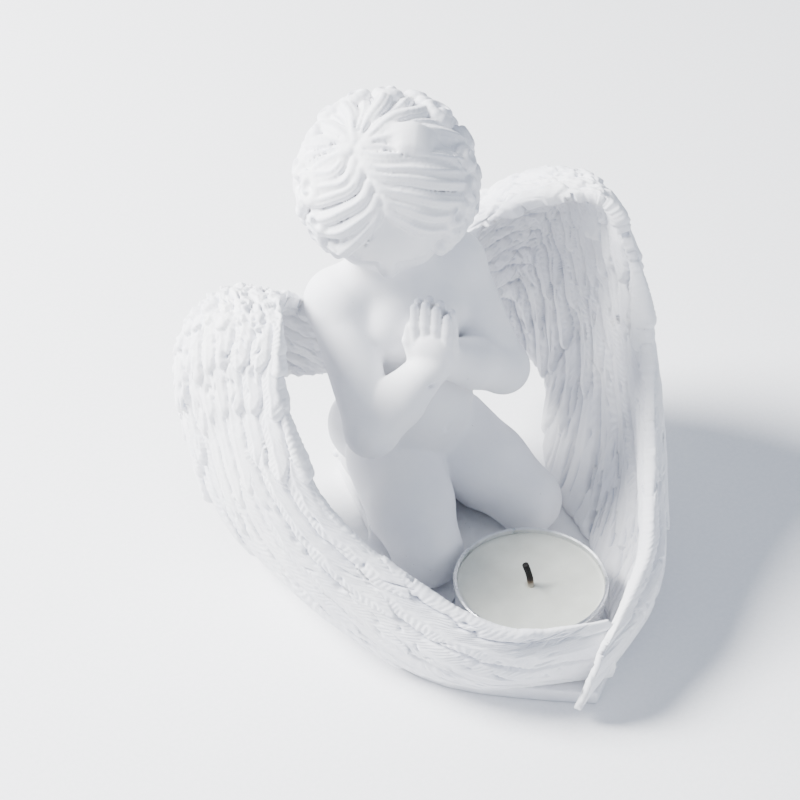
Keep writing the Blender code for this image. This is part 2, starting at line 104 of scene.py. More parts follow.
def resin_material(name, light, shade, grain):
    """Polyresin filled with stone powder: cloudy, chalky white, with no gloss to speak of, and
    painted shade in its hollows and pores.
    """
    made, tree, shader = new_material(name)
    where = node(tree, "ShaderNodeTexCoord").outputs["Object"]
    # The filler settles unevenly, in clouds about 18 mm across.
    clouds = {"Scale": repeat(18.18), "Detail": 4.0, "Roughness": 0.55}
    cloud = node(tree, NOISE, clouds, {"Vector": where})
    stops = [(0.32, linear(shade)), (0.62, linear(light))]
    tint = node(tree, RAMP, {"stops": stops}, {"Fac": cloud.outputs["Fac"]})
    # Air bubbles leave open pores 2 to 3 mm apart, in patches about 11 mm across.
    cells = node(tree, "ShaderNodeTexVoronoi", {"Scale": repeat(2.381)}, {"Vector": where})
    stops = [(0.0, grey(0.0)), (0.10, CLEAR)]
    hole = node(tree, RAMP, {"stops": stops}, {"Fac": cells.outputs["Distance"]})
    patch = node(tree, NOISE, {"Scale": repeat(11.11), "Detail": 2.0}, {"Vector": where})
    stops = [(0.56, CLEAR), (0.62, grey(0.0))]
    rare = node(tree, RAMP, {"stops": stops}, {"Fac": patch.outputs["Fac"]})
    both = {0: hole.outputs["Color"], 1: rare.outputs["Color"]}
    open_pore = node(tree, "ShaderNodeMath", {"operation": "MAXIMUM"}, both)
    multiply = {"data_type": "RGBA", "blend_type": "MULTIPLY"}
    pored = {6: tint.outputs["Color"], 7: open_pore.outputs[0]}
    # Painted shade: each open pore's colour is darkened by about a third, as if in the shade inside
    # its pit.
    pore_shaded = node(tree, "ShaderNodeMix", {**multiply, "Factor": 0.35}, pored)
    # Painted shade: the hollows between feathers and curls, found from the mesh's pointiness, are
    # tinted a cool blue-grey as if in shade.
    bent = node(tree, "ShaderNodeNewGeometry").outputs["Pointiness"]
    stops = [(0.40, linear("#C3C8D6")), (0.49, CLEAR)]
    hollow = node(tree, RAMP, {"stops": stops}, {"Fac": bent})
    hollow_shade_layers = {6: pore_shaded.outputs[2], 7: hollow.outputs["Color"]}
    hollow_shaded = node(tree, "ShaderNodeMix", {**multiply, "Factor": 1.0}, hollow_shade_layers)
    tree.links.new(hollow_shaded.outputs[2], shader.inputs["Base Color"])
    # The powder's grain is far finer than this. It is drawn 1.1 mm across so that it shows.
    grains = {"Scale": repeat(1.111), "Detail": 6.0, "Roughness": 0.7}
    powder = node(tree, NOISE, grains, {"Vector": where})
    stops = [(0.3, grey(0.58)), (0.7, grey(0.76))]
    gloss = node(tree, RAMP, {"stops": stops}, {"Fac": powder.outputs["Fac"]})
    tree.links.new(gloss.outputs["Color"], shader.inputs["Roughness"])
    rough = node(
        tree,
        "ShaderNodeBump",
        {"Strength": grain, "Distance": 0.12 * MM},
        {"Height": powder.outputs["Fac"]},
    )
    pit = node(
        tree,
        "ShaderNodeBump",
        {"Strength": 0.5, "Distance": 0.3 * MM},
        {"Height": open_pore.outputs[0], "Normal": rough.outputs["Normal"]},
    )
    tree.links.new(pit.outputs["Normal"], shader.inputs["Normal"])
    shader.inputs["Specular IOR Level"].default_value = 0.28
    # Light goes about a millimetre into the binder, which softens the small edges.
    shader.inputs["Subsurface Weight"].default_value = 0.06
    shader.inputs["Subsurface Radius"].default_value = (1.2 * MM, 1.1 * MM, 1.0 * MM)
    shader.inputs["Subsurface Scale"].default_value = 1.0
    return made


# The skin was rubbed down before moulding; the feathers keep the modeller's rough marks.
skin_resin = resin_material("cast polyresin, rubbed smooth", "#F3F3F5", "#E9EAEF", 0.35)
feather_resin = resin_material("cast polyresin, as moulded", "#F4F4F6", "#E6E7ED", 0.8)

# ---------------------------------------------------------------------------
# The kneeling child. One resin casting, bonded to the plinth at its knees, shins
# and feet: head bowed and turned to its right, palms pressed together at the
# chest, sitting back on its heels with knees apart.
# ---------------------------------------------------------------------------


class Clay:
    """A distance field on a grid, in mm, that rounded lumps are pressed on to."""

    def __init__(self, low, high, step):
        self.low = np.array(low, float)
        self.step = step
        shape = np.ceil((np.array(high) - self.low) / step).astype(int) + 1
        self.field = np.full(shape, 4.0, np.float32)

    def window(self, low, high, room):
        a = np.floor((np.array(low) - room - self.low) / self.step).astype(int)
        b = np.ceil((np.array(high) + room - self.low) / self.step).astype(int) + 1
        a = np.clip(a, 0, self.field.shape)
        b = np.clip(b, 0, self.field.shape)
        part = tuple(slice(i, j) for i, j in zip(a, b))
        grid = [self.low[i] + self.step * np.arange(a[i], b[i]) for i in range(3)]
        return part, grid[0][:, None, None], grid[1][None, :, None], grid[2][None, None, :]

    def press(self, part, distance, soft):
        old = self.field[part]
        near = np.maximum(soft - np.abs(old - distance), 0) / soft
        self.field[part] = np.minimum(old, distance) - near * near * soft * 0.25

    def dent(self, part, distance, soft):
        old = self.field[part]
        near = np.maximum(soft - np.abs(old + distance), 0) / soft
        self.field[part] = np.maximum(old, -distance) + near * near * soft * 0.25

    def egg(self, centre, radii, turn=None, soft=2.5, cut=False):
        radii = np.array(radii if hasattr(radii, "__len__") else (radii,) * 3, float)
        centre = np.array(centre, float)
        reach = radii.max()
        part, x, y, z = self.window(centre - reach, centre + reach, soft + 0.5)
        p = [x - centre[0], y - centre[1], z - centre[2]]
        if turn is not None:
            turn = np.array(turn)
            p = [p[0] * turn[0][i] + p[1] * turn[1][i] + p[2] * turn[2][i] for i in range(3)]
        q = [p[i] / radii[i] for i in range(3)]
        k0 = np.sqrt(q[0] ** 2 + q[1] ** 2 + q[2] ** 2) + 1e-6
        k1 = np.sqrt(sum((q[i] / radii[i]) ** 2 for i in range(3))) + 1e-6
        distance = k0 * (k0 - 1) / k1
        (self.dent if cut else self.press)(part, distance, soft)

    def limb(self, start, end, first, last, soft=2.5, cut=False):
        a, b = np.array(start, float), np.array(end, float)
        reach = max(first, last)
        part, x, y, z = self.window(np.minimum(a, b) - reach, np.maximum(a, b) + reach, soft + 0.5)
        d = b - a
        length = (d**2).sum() + 1e-9
        t = ((x - a[0]) * d[0] + (y - a[1]) * d[1] + (z - a[2]) * d[2]) / length
        t = np.clip(t, 0, 1)
        gap = (x - a[0] - t * d[0]) ** 2 + (y - a[1] - t * d[1]) ** 2 + (z - a[2] - t * d[2]) ** 2
        distance = np.sqrt(gap) - (first + (last - first) * t)
        (self.dent if cut else self.press)(part, distance, soft)

    def strand(self, points, radii, soft=0.4):
        for a, b, r, s in zip(points[:-1], points[1:], radii[:-1], radii[1:]):
            self.limb(a, b, r, s, soft)

    def mesh(self, name):
        grid = openvdb.FloatGrid(4.0)
        grid.copyFromArray(self.field)
        points, quads = grid.convertToQuads(0.0)
        points = (np.array(points) * self.step + self.low) * MM
        made = bpy.data.meshes.new(name)
        made.from_pydata(points.tolist(), [], np.array(quads)[:, ::-1].tolist())
        made.shade_smooth()
        return made


def bend(points, count):
    """A smooth curve through the points, evenly spaced in their numbering."""
    p = np.array(points, float)
    t = np.linspace(0, len(p) - 1, count)
    i = np.clip(t.astype(int), 0, len(p) - 2)
    f = (t - i)[:, None]
    q = np.vstack([2 * p[0] - p[1], p, 2 * p[-1] - p[-2]])
    a, b, c, d = q[i], q[i + 1], q[i + 2], q[i + 3]
    curve = 2 * b + (c - a) * f + (2 * a - 5 * b + 4 * c - d) * f**2
    return 0.5 * (curve + (3 * b - a - 3 * c + d) * f**3)


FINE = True
CLAY_STEP = 0.42 if FINE else 0.8
BOND = 4.05  # The plinth's top face, with the thickness of the bond on it.

clay = Clay((-32, -31, 1), (34, 47, 126), CLAY_STEP)

# Torso: a round toddler's belly, narrow sloping shoulders, full buttocks.
clay.limb((-0.5, 16.5, 64), (0.5, 12.0, 50), 12.0, 12.2, 4)
clay.egg((-0.5, 14.6, 63), (15.0, 11.4, 12.0), soft=5)
clay.egg((1.0, 9.2, 38.0), (14.8, 14.0, 13.5), soft=5)
clay.egg((2.0, 12.5, 26.5), (16.2, 13.0, 12.0), soft=6)
clay.limb((-1.6, 17.8, 84), (-0.8, 16.8, 70), 8.2, 9.2, 4)
clay.limb((-1.0, 17.5, 76), (-14.0, 18.6, 69.5), 6.6, 7.2, 4)
clay.limb((-1.0, 17.5, 76), (13.2, 14.6, 72.0), 6.6, 7.0, 4)
clay.egg((-6.8, 8.6, 63.5), (6.6, 5.2, 5.6), soft=5)
clay.egg((6.6, 6.4, 64.0), (6.6, 5.2, 5.6), soft=5)
clay.egg((-5.4, 22.5, 22.5), (10.6, 11.0, 11.0), soft=1.6)
clay.egg((9.6, 22.5, 22.5), (10.6, 11.0, 11.0), soft=1.6)
clay.limb((1.6, 31.5, 33), (1.8, 33.5, 16), 1.0, 1.4, 1.6, cut=True)
clay.limb((-0.6, 29.0, 72), (1.0, 25.5, 42), 0.9, 1.0, 3.0, cut=True)

# Legs: knees apart, shins folded under, small feet with their soles up.
hips = {-1: (-6.0, 9.0, 21.5), 1: (11.0, 9.0, 21.5)}
knees = {-1: (-12.5, -17.5, 12.2), 1: (20.0, -14.5, 12.2)}
ankles = {-1: (-6.0, 24.5, 8.6), 1: (8.5, 24.5, 8.6)}
toes = {-1: (-5.0, 32.5, 7.4), 1: (7.5, 32.5, 7.4)}
for side in (-1, 1):
    hip, knee, ankle, toe = hips[side], knees[side], ankles[side], toes[side]
    middle = [(h + k) / 2 for h, k in zip(hip, knee)]
    clay.limb(hip, middle, 12.4, 11.2, 1.2)
    clay.limb(middle, knee, 11.2, 8.9, 2)
    clay.egg((knee[0], knee[1] - 0.6, knee[2] - 0.4), (8.2, 8.4, 8.6), soft=2.5)
    calf = ((knee[0] * 0.62 + ankle[0] * 0.38), 0.0, 10.0)
    clay.limb((knee[0], knee[1] + 3, knee[2] - 3.0), calf, 6.8, 7.8, 1.0)
    clay.limb(calf, ankle, 7.7, 5.0, 1.4)
    clay.limb(ankle, toe, 4.9, 3.6, 1.6)
    clay.egg((ankle[0], ankle[1] + 3.4, ankle[2] + 0.6), (4.6, 4.8, 4.6), soft=2)
    for k in range(5):
        across = toe[0] + side * (k - 2) * 1.7
        size = (1.75, 1.45, 1.35, 1.25, 1.15)[k]
        clay.limb(
            (across, toe[1] + 1.0, toe[2] - 1.2),
            (across, toe[1] + 3.4 - 0.35 * k, toe[2] - 2.2),
            size,
            size,
            0.5,
        )
clay.egg((1.8, -5.6, 36.8), (1.1, 1.6, 1.0), soft=1.2, cut=True)

# Arms: elbows held away from the ribs, plump forearms rising to the palms.
shoulders = {-1: (-16.0, 19.0, 68.2), 1: (15.0, 14.2, 71.6)}
elbows = {-1: (-20.4, -4.2, 45.4), 1: (18.6, -3.8, 48.8)}
wrists = {-1: (-5.4, -5.6, 58.6), 1: (0.4, -3.4, 58.8)}
for side in (-1, 1):
    shoulder, elbow, wrist = shoulders[side], elbows[side], wrists[side]
    clay.egg(shoulder, (7.8, 8.2, 8.0), soft=3.5)
    clay.limb(shoulder, elbow, 7.5, 6.2, 2.0)
    clay.egg(elbow, 6.5, soft=2)
    half = [(e + w) / 2 for e, w in zip(elbow, wrist)]
    clay.limb(elbow, half, 6.5, 6.5, 1.0)
    clay.limb(half, wrist, 6.4, 4.9, 1.4)

# Hands: palm to palm, fingers straight up, the right hand's back outward.
row = np.array((0.62, -0.785, 0.0))
back = np.array((-0.785, -0.62, 0.0))
up_hand = np.array((0.02, 0.10, 0.99))
for side in (-1, 1):
    out = back if side < 0 else -back
    heel = np.array((-2.6, -5.0, 59.3)) + out * 2.2
    turn = np.array((row, out, up_hand)).T
    clay.egg(heel + up_hand * 4.2, (5.5, 2.8, 5.8), turn, soft=1.4)
    clay.egg(heel + up_hand * 0.8, (4.7, 3.5, 4.0), turn, soft=1.4)
    for k in range(4):
        length = (8.6, 9.8, 9.2, 7.4)[k]
        root = heel + up_hand * 7.0 + row * (-3.9 + 2.6 * k)
        lean = row * (0.35 - 0.16 * k) * -1.0
        tip = root + up_hand * length + lean - out * 0.9
        knuckle = root + (tip - root) * 0.5 + out * 0.25
        clay.limb(root - up_hand * 1.5, knuckle, 1.5, 1.42, 0.3)
        clay.limb(knuckle, tip, 1.42, 1.15, 0.3)
    base = heel + up_hand * 1.6 - row * 4.0
    joint = base + up_hand * 4.8 - row * 2.0 - out * 0.4
    clay.limb(base, joint, 2.1, 1.6, 0.8)
    clay.limb(joint, joint + up_hand * 3.8 + row * 0.5 - out * 0.3, 1.6, 1.25, 0.5)
# A baby fold round the wrist of the right hand.
fold = (-9.6, -9.0, 57.6)
for end in ((-4.2, -11.0, 58.0), (-9.6, -3.0, 60.0)):
    clay.limb(fold, end, 0.35, 0.35, 0.9, cut=True)

# Head, in its own frame: left, face and up. Proportions are in head radii.
head = np.array((-3.4, 15.6, 97.8))
HEAD = 18.5
yaw, bow = math.radians(-31), math.radians(38)
level_way = math.cos(bow)
face_axis = np.array((math.sin(yaw) * level_way, -math.cos(yaw) * level_way, -math.sin(bow)))
left_axis = np.array((math.cos(yaw), math.sin(yaw), 0.0))
up_axis = np.cross(face_axis, left_axis)
up_axis *= np.sign(up_axis[2])
skull = np.array((left_axis, face_axis, up_axis)).T


def at(left, face, up):
    return head + (left_axis * left + face_axis * face + up_axis * up) * HEAD


def egg(left, face, up, radii, soft=2.0, cut=False):
    clay.egg(at(left, face, up), np.array(radii) * HEAD, skull, soft, cut)


egg(0, 0.12, 0.00, (0.84, 0.84, 0.88), 3)
egg(0, 0.40, -0.40, (0.60, 0.46, 0.42), 4)
egg(0, 0.56, 0.22, (0.56, 0.38, 0.40), 4)
for side in (-1, 1):
    egg(0.35 * side, 0.58, -0.30, (0.27, 0.26, 0.26), 3)
    egg(0.31 * side, 0.90, -0.02, (0.20, 0.12, 0.13), 2.2, cut=True)
    egg(0.30 * side, 0.79, -0.03, (0.155, 0.12, 0.115), 0.8)
    lid = [
        at((0.30 + 0.155 * u) * side, 0.885 - 0.06 * u * u, -0.075 + 0.045 * u * u)
        for u in (-1, -0.5, 0, 0.5, 1)
    ]
    for a, b in zip(lid[:-1], lid[1:]):
        clay.limb(a, b, 0.28, 0.28, 0.5, cut=True)
    brow = [
        at((0.30 + 0.20 * u) * side, 0.905 - 0.09 * u * u, 0.15 - 0.05 * u * u)
        for u in (-1, -0.4, 0.2, 1)
    ]
    for a, b in zip(brow[:-1], brow[1:]):
        clay.limb(a, b, 0.55, 0.45, 1.6)
    clay.egg(at(0.075 * side, 0.965, -0.235), 0.060 * HEAD, soft=0.9)
clay.limb(at(0, 0.90, 0.06), at(0, 1.00, -0.20), 0.95, 1.25, 1.8)
clay.egg(at(0, 1.025, -0.215), 0.078 * HEAD, soft=1.0)
for side in (-1, 1):
    clay.egg(at(0.05 * side, 0.985, -0.285), 0.024 * HEAD, soft=0.4, cut=True)
egg(0, 0.84, -0.43, (0.16, 0.10, 0.10), 1.6)
ACROSS = (-1, -0.5, 0, 0.5, 1)
upper = [at(u * 0.15, 0.935 - 0.08 * u * u, -0.405 - 0.02 * u * u) for u in ACROSS]
lower = [at(u * 0.11, 0.925 - 0.05 * u * u, -0.465 + 0.02 * u * u) for u in ACROSS]
parted = [at(u * 0.15, 0.955 - 0.09 * u * u, -0.437) for u in ACROSS]
clay.strand(upper, (0.35, 0.62, 0.52, 0.62, 0.35), 0.5)
clay.strand(lower, (0.42, 0.68, 0.74, 0.68, 0.42), 0.5)
for a, b in zip(parted[:-1], parted[1:]):
    clay.limb(a, b, 0.16, 0.16, 0.35, cut=True)
egg(0, 0.74, -0.64, (0.17, 0.15, 0.13), 2.2)

# Hair: combed out from a parting in thick scalloped locks that end in curls.
# Places on it are read looking down on the crown: left, towards the face, out.
egg(0, -0.13, 0.13, (1.01, 0.97, 0.97), 0.8)


def scalp(left, face, out=0.0):
    reach = math.hypot(left, face + 0.1) / 1.03
    tilt = math.asin(reach) if reach < 1 else math.pi / 2 + (reach - 1) * 1.7
    share = math.sin(tilt) / (reach * 1.03 + 1e-6)
    return at(
        left * share * (1.01 + out),
        (face + 0.1) * share * (0.98 + out) - 0.12,
        math.cos(tilt) * (0.97 + out) + 0.13,
    )


def parting(face):
    return -0.40 + 0.56 * (face + 0.14) if face < 0.40 else -0.09 + 0.16 * (face - 0.40)


def curl(left, face, size, way, thick=1.9):
    """A coiled curl that stands proud of the hair, with a hollow at its middle."""
    middle = scalp(left, face, 0.075)
    away = middle - head
    away /= np.linalg.norm(away)
    a = np.cross(away, (0.3, 0.2, 1.0))
    a /= np.linalg.norm(a)
    b = np.cross(away, a)
    points, radii = [], []
    for i in range(15):
        t = i / 14
        angle = way * (t * 6.8) + size * 2.0
        reach = size * (1 - 0.62 * t)
        points.append(middle + (a * math.cos(angle) + b * math.sin(angle)) * reach + away * 1.6 * t)
        radii.append(thick * (1.0 - 0.35 * t))
    clay.strand(points, radii, 0.2)
    clay.egg(middle + away * 2.4, 1.1, soft=0.8, cut=True)


comb = []
FRONT_LOCKS, BACK_LOCKS, EDGE_CURLS = 6, 19, 13
for side in (-1, 1):
    # Front locks, each a shallow scallop from the parting out to the temple.
    for k in range(FRONT_LOCKS):
        for half in (0, 1):
            start = -0.20 + 0.155 * k + 0.075 * half + 0.02 * math.sin(k * 2.2)
            sag = (0.30 if side < 0 else 0.18) - 0.015 * k + 0.03 * math.sin(k * 3.1)
            end = 1.10 - 0.10 * half - 0.08 * math.sin(k * 1.7)
            points, radii = [], []
            for i in range(24):
                t = i / 23
                wave = math.sin(11.0 * t + 0.7 * k)
                left = parting(start) + 0.04 * side + (side * end - parting(start)) * t
                face = start + sag * math.sin(math.pi * t**0.62) + 0.016 * wave
                lift = 0.045 + 0.05 * math.sin(math.pi * t) + 0.012 * wave - 0.06 * half
                points.append(scalp(left, face, lift))
                swell = 0.75 + 0.35 * math.sin(math.pi * (0.1 + 0.8 * t))
                radii.append((1.8 - 0.75 * half) * swell)
            clay.strand(points, radii, 0.1)
            comb.append((points, radii))
# Back locks, fanning out from the crown.
for k in range(BACK_LOCKS):
    around = math.radians(68 + 13.2 * k)
    points, radii = [], []
    for i in range(20):
        t = i / 19
        sway = 0.035 * math.sin(9 * t + 0.9 * k)
        left = -0.36 + (0.08 + 1.25 * t) * math.sin(around + sway)
        face = -0.16 + (0.08 + 1.0 * t) * math.cos(around + sway)
        points.append(scalp(left, face, 0.03 + 0.03 * (k % 2) + 0.015 * math.sin(8 * t + 2.3 * k)))
        radii.append((1.9 if k % 2 else 1.4) * (0.75 + 0.4 * math.sin(math.pi * (0.1 + 0.8 * t))))
    clay.strand(points, radii, 0.1)
    comb.append((points, radii))
# Every lock is scored along its length with the teeth of a comb.
for points, radii in comb:
    for shift in (-0.45, 0.4):
        scored = []
        for k in range(2, len(points) - 1):
            away = points[k] - head
            away = away / np.linalg.norm(away)
            run = points[k + 1] - points[k - 1]
            side_way = np.cross(away, run / np.linalg.norm(run))
            scored.append(points[k] + (away * 0.86 + side_way * shift) * radii[k] * 1.05)
        for a, b in zip(scored[:-1], scored[1:]):
            clay.limb(a, b, 0.22, 0.22, 0.45, cut=True)
# Curls round the edge, in three rows that overlap like tiles.
for row_number, (reach, size) in enumerate(((0.95, 3.0), (1.09, 3.3), (1.26, 3.3))):
    for k in range(EDGE_CURLS):
        around = math.radians(52 + (256 / (EDGE_CURLS - 1)) * k)
        wobble = 0.05 * math.sin(k * 2.7 + row_number)
        curl(
            math.sin(around) * (reach + wobble),
            math.cos(around) * (reach + wobble) - 0.1,
            size + 0.6 * math.sin(k * 1.9),
            1 if (k + row_number) % 2 else -1,
        )
# A heavier curl at each temple.
for left, face in ((-0.86, 0.56), (-0.80, 0.76), (0.90, 0.50), (0.84, 0.70)):
    curl(left, face, 3.3, 1, 1.9)
# The smooth tuft that is combed across the crown.
for k in range(4):
    row_face = -0.34 + 0.075 * k
    points = [
        scalp(-0.16 + 0.1 * k, row_face, 0.05),
        scalp(0.18, row_face - 0.02, 0.13),
        scalp(0.40, row_face, 0.12),
        scalp(0.60 - 0.04 * k, -0.26 + 0.03 * k, 0.04),
    ]
    clay.strand(bend(points, 13), np.interp(np.arange(13), [0, 6, 12], [1.0, 1.7, 0.8]), 0.9)

# Cut flat where it is bonded to the plinth.
level = clay.low[2] + clay.step * np.arange(clay.field.shape[2])
clay.field = np.maximum(clay.field, (BOND - level)[None, None, :].astype(np.float32))

figure = bpy.data.objects.new("kneeling_child", clay.mesh("kneeling_child"))
bpy.context.scene.collection.objects.link(figure)
figure.data.materials.append(skin_resin)
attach(figure, "holder")
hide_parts("kneeling_figure")

# ---------------------------------------------------------------------------
# The two wings. Each is a cupped shell cast on its own and bonded behind the
# shoulder: scaly coverts on the crest, three rows of rounded feathers, then
# long flight feathers that sweep forward to the point of the heart.
# ---------------------------------------------------------------------------

cup_low, cup_high = [np.array(c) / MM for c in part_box("candle_cup")]
cup = (cup_high[0] - cup_low[0]) / 2
cup_y = (cup_high[1] + cup_low[1]) / 2
TOP, REACH, BACK = 88.0, 59.0, 43.0
BESIDE, POINT = cup + 17.0, cup_y - cup - 13.0
FRONT_RIM, SIDE_RIM, FOOT = 22.6, 36.0, BOND
LEFT_RISE, LEFT_OUT = 3.5, 1.5
MESH_GRID = (560, 250) if FINE else (300, 130)
STATIONS = np.array((0.0, 1.2, 3.0, 5.0, 7.0, 9.0, 11.0, 13.0))
# Guides from the shoulder blade, over the crest and round the candle to the tip.
front_guide = [
    (9, 24, 60),
    (REACH - 34, BACK - 21, TOP - 16),
    (REACH - 16, -3, TOP),
    (REACH - 9, -14, TOP - 15),
    (REACH - 11.5, -26, TOP - 36),
    (BESIDE, cup_y + 1, SIDE_RIM),
    (cup + 2.5, cup_y - cup + 2, FRONT_RIM + 4),
    (1, POINT + 3.5, FRONT_RIM),
]
full_guide = [
    (9.5, 26, 50),
    (REACH - 29, BACK - 6, TOP - 24),
    (REACH - 4, BACK - 16, TOP - 18),
    (REACH, BACK - 34, TOP - 41),
    (REACH - 5, -15, SIDE_RIM - 7.5),
    (BESIDE + 7, cup_y + 6, SIDE_RIM / 2 + 1),
    (cup + 9, cup_y - cup + 3.5, 15),
    (1, POINT, 14),
]
rear_guide = [
    (8.5, 26, 40),
    (REACH - 37, BACK - 4, TOP - 52),
    (REACH - 17, BACK - 3, TOP - 63),
    (REACH - 8, BACK - 22, 15),
    (REACH - 16, 1, FOOT),
    (BESIDE + 3.5, cup_y + 19, FOOT),
    (cup + 10, cup_y - cup + 12, FOOT),
    (1, POINT + 1, FOOT),
]


def through(guide, at_places):
    """A smooth curve through the guide's points, which stand at STATIONS."""
    p = np.array(guide, float)
    step = np.diff(STATIONS)[:, None]
    slope = np.diff(p, axis=0) / step
    inner = (slope[:-1] * step[1:] + slope[1:] * step[:-1]) / (step[1:] + step[:-1])
    tangent = np.vstack([slope[:1], inner, slope[-1:]])
    i = np.clip(np.searchsorted(STATIONS, at_places, side="right") - 1, 0, 6)
    h = step[i]
    f = (at_places - STATIONS[i])[:, None] / h
    first = (1 + 2 * f) * (1 - f) ** 2 * p[i] + f * (1 - f) ** 2 * h * tangent[i]
    return first + f**2 * (3 - 2 * f) * p[i + 1] - f**2 * (1 - f) * h * tangent[i + 1]


def hashed(*keys):
    """A repeatable number from 0 to 1 for each combination of whole numbers."""
    value = 0.0
    for k, key in enumerate(keys):
        value = value + np.asarray(key, float) * (12.9898 + 65.117 * k)
    return np.mod(np.sin(value) * 43758.5453, 1.0)


def rumple(u, v, seed):
    """Smooth two-way noise from -1 to 1 over a grid in mm."""
    total = 0.0
    for k in range(4):
        scale = 0.22 * 1.9**k
        shift = seed * 3.7 + k * 11.3
        total = total + (
            np.sin(u * scale + 1.7 * np.sin(v * scale * 0.8 + shift) + shift)
            * np.cos(v * scale * 1.1 + 1.3 * np.sin(u * scale * 0.7 - shift))
        ) / 1.6**k
    return total / 2.4


# Feather rows: where each starts and ends along the wing, the width of one
# feather in mm, and how far its tip stands proud in mm.
ROWS = [(0.48 * k, 0.48 * (k + 1), 5.2 + 0.4 * (k % 3), 1.15) for k in range(7)]
ROWS += [(3.36, 4.1, 5.9, 1.5), (4.1, 5.0, 6.4, 1.9), (5.0, 6.1, 6.8, 1.9)]
ROWS += [(6.1, 9.2, 7.2, 1.4), (9.2, 15.0, 7.4, 1.1)]


def plumage(t, along, across, seed):
    """Relief of one face in mm, for stations t and distances along and across."""
    height = np.zeros_like(t)
    drift = 1.5 * rumple(along * 0.6, across * 0.45, seed)
    drift = drift + 0.5 * rumple(along * 1.7, across, seed + 1)
    for r in range(len(ROWS) - 1, -1, -1):
        start, end, pitch, proud = ROWS[r]
        long_row = r >= 7
        quills = r >= 10
        lane = (across + drift) / pitch + 0.5 * (r % 2) + 0.37 * seed
        index = np.floor(lane)
        jitter = hashed(index, r, seed)
        q = 2 * (lane - index) - 1 + 0.16 * (hashed(index, r, seed + 4) - 0.5)
        q = np.clip(q, -1, 1)
        span = end - start
        rounding = 0.34 if long_row else 0.5
        reach = end + span * (0.6 * (jitter - 0.4) - rounding * q**2)
        if r == len(ROWS) - 1:
            reach = reach + 10
        grow = np.clip((t - start) / span, 0, 1.2)
        half = pitch / 2
        dome = np.sqrt(np.clip(1 - 0.80 * q**2, 0, 1))
        tip = np.clip((reach - t) / (0.12 * span), 0, 1) ** 0.5
        body = proud * (0.15 + 0.85 * grow**0.9) * dome * (0.78 + 0.44 * jitter)
        body = body * (0.35 + 0.65 * tip)
        if quills:
            body = proud * (0.30 + 0.70 * dome) * (0.75 + 0.5 * jitter)
        quill = 0.26 * np.exp(-((q * half / 0.5) ** 2)) * long_row
        phase = (along - 1.3 * np.abs(q) * half) / (1.7 if quills else 1.35) + 3 * jitter
        barb = np.sin(2 * np.pi * phase + 1.6 * np.sin(along * 0.5 + jitter * 6))
        barb = barb * (0.10 if long_row else 0.05) * np.clip(np.abs(q) * 3, 0, 1)
        groove = -(0.75 if long_row else 0.5) * np.exp(-(((1 - np.abs(q)) * half / 0.42) ** 2))
        height = np.where(t < reach, body + quill + barb + groove, height)
    fluff = np.clip((4.4 - t) / 1.2, 0, 1)
    height = height + fluff * (0.9 * rumple(along * 1.3, across * 1.3, seed + 1))
    height = height + fluff * 0.25 * rumple(along * 4.0, across * 4.0, seed + 6)
    height = height + 0.14 * rumple(along * 1.2, across, seed)
    return height + 0.05 * rumple(along * 5, across * 5, seed + 2)


def gouges(height, along, across, seed, spots):
    """Nicks and pits left by the modelling tool, each a short curved scratch."""
    pick = np.random.default_rng(seed)
    rows, columns = height.shape
    for low, high, number, deep, long in spots:
        for _ in range(number):
            i = int(pick.uniform(low, high) / 13 * (rows - 1))
            j = int(pick.uniform(0.08, 0.92) * (columns - 1))
            angle = pick.uniform(-0.7, 0.7)
            size = pick.uniform(0.6, 1.4)
            a, b = max(i - 16, 0), min(i + 17, rows)
            c, d = max(j - 16, 0), min(j + 17, columns)
            u = along[a:b, c:d] - along[i, j]
            v = across[a:b, c:d] - across[i, j]
            v = v + 0.10 * u * u
            x = u * math.cos(angle) + v * math.sin(angle)
            y = v * math.cos(angle) - u * math.sin(angle)
            scratch = np.exp(-((x / (long * size)) ** 2) - (y / 0.36) ** 2)
            height[a:b, c:d] -= deep * size * scratch
    return height


